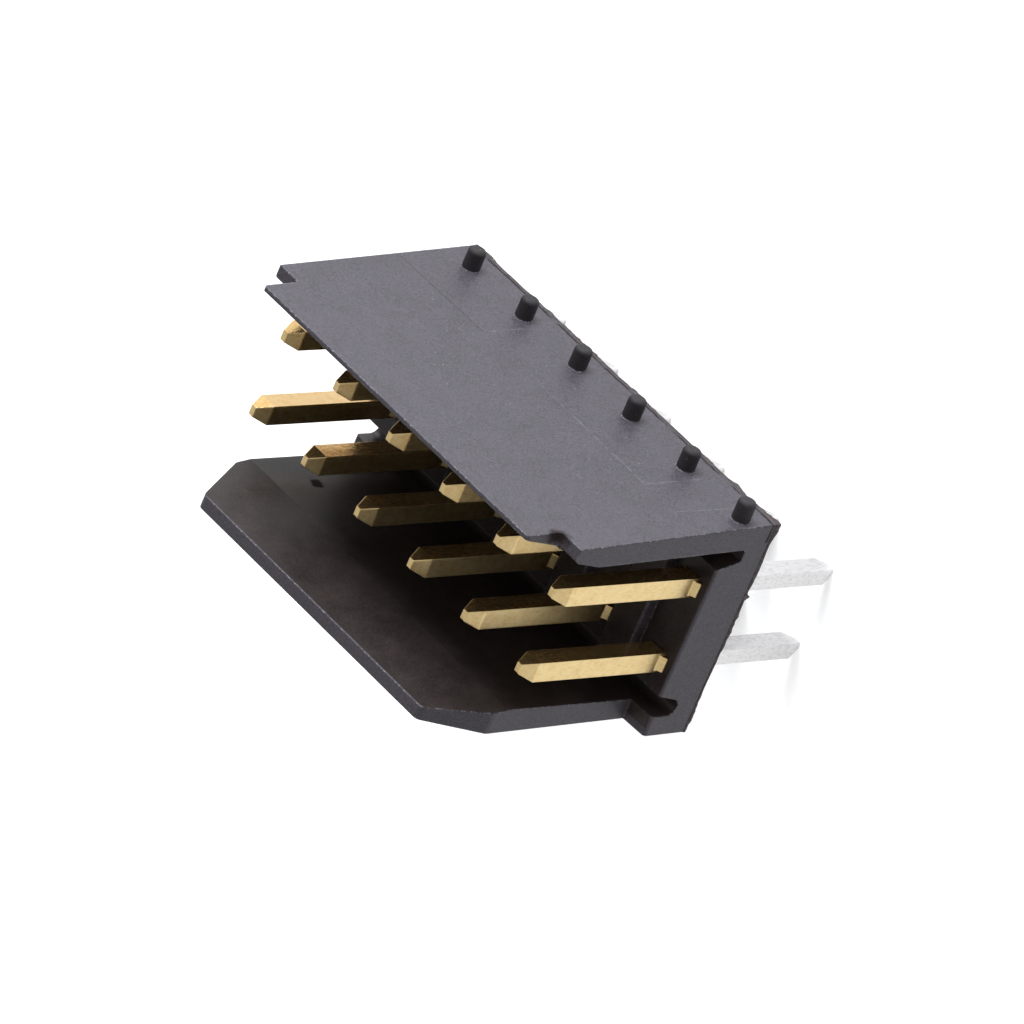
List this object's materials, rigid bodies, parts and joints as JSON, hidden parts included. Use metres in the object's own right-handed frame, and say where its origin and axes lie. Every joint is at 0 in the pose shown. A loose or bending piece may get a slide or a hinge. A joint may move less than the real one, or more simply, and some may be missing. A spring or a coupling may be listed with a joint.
{
  "type": "shrouded wire-to-board pin header",
  "caption": "Black shrouded board header: square gold-plated contact posts between two leaning moulded walls, with tin-plated tails for the holes of a circuit board.",
  "frame": {"origin": "on the plane of the circuit board that the housing sits on, at the centre of the contact grid", "axes": "+X along the contact rows, +Y across them to the wall with the pegs, +Z the way the mating plug is drawn off"},
  "size_m": [0.0142, 0.0079, 0.0128],
  "materials": {
    "moulded_plastic": "matte to satin, glass-filled",
    "plated_contact": "gold-plated mating end, tin-plated tail"
  },
  "bodies": {
    "root": {"housing": "moulded_plastic", "post_upper_1": "plated_contact", "post_upper_2": "plated_contact", "post_upper_3": "plated_contact", "post_upper_4": "plated_contact", "post_upper_5": "plated_contact", "post_upper_6": "plated_contact", "post_lower_1": "plated_contact", "post_lower_2": "plated_contact", "post_lower_3": "plated_contact", "post_lower_4": "plated_contact", "post_lower_5": "plated_contact", "post_lower_6": "plated_contact"}
  },
  "joints": []
}
